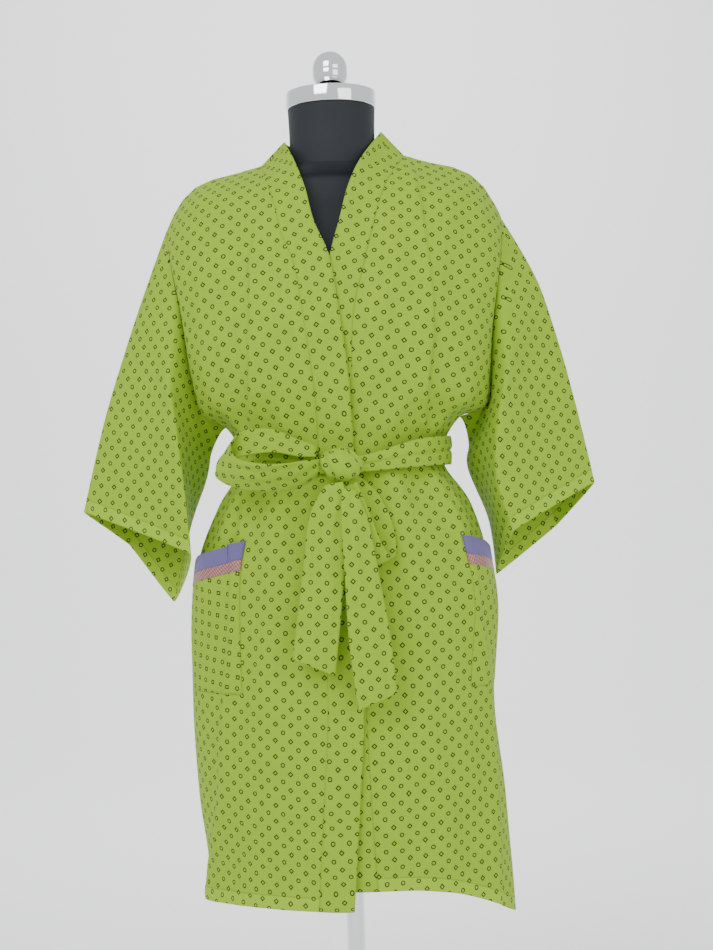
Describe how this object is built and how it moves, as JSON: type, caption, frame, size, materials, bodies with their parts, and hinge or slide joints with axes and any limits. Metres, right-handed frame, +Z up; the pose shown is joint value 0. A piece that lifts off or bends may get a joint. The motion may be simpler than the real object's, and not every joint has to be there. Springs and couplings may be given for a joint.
{
  "type": "cotton yukata robe on a dress form stand",
  "caption": "Knee-length cotton yukata robe with wide open sleeves, slanted side pockets and a sash tied in a bow, shown on a limbless dress form with a round foot.",
  "frame": {"origin": "middle of the foot's underside, on the floor", "axes": "+X to the robe's left side, -Y to its front, +Z up the pole"},
  "size_m": [0.708, 0.369, 1.561],
  "materials": {
    "cotton": "matt printed cotton",
    "violet": "woven border",
    "gold": "metallic woven border",
    "cover": "smooth stretch cover",
    "chrome": "polished",
    "steel": "plain tube",
    "foot": "satin black"
  },
  "bodies": {
    "root": {"back": "cotton", "front_right": "cotton", "front_left": "cotton", "sleeve_right": "cotton", "sleeve_left": "cotton", "neckband": "cotton", "pocket_right": "cotton", "pocket_left": "cotton", "sash_turn": "cotton", "sash_knot": "cotton", "sash_loop_right": "cotton", "sash_loop_left": "cotton", "sash_tail_right": "cotton", "sash_tail_left": "cotton", "border_violet_right": "violet", "border_violet_left": "violet", "border_gold_right": "gold", "border_gold_left": "gold", "form_torso": "cover", "form_neck": "cover", "neck_cap": "chrome", "finial": "chrome", "form_flange": "steel", "pole": "steel", "foot_hub": "steel", "foot": "foot"}
  },
  "joints": []
}
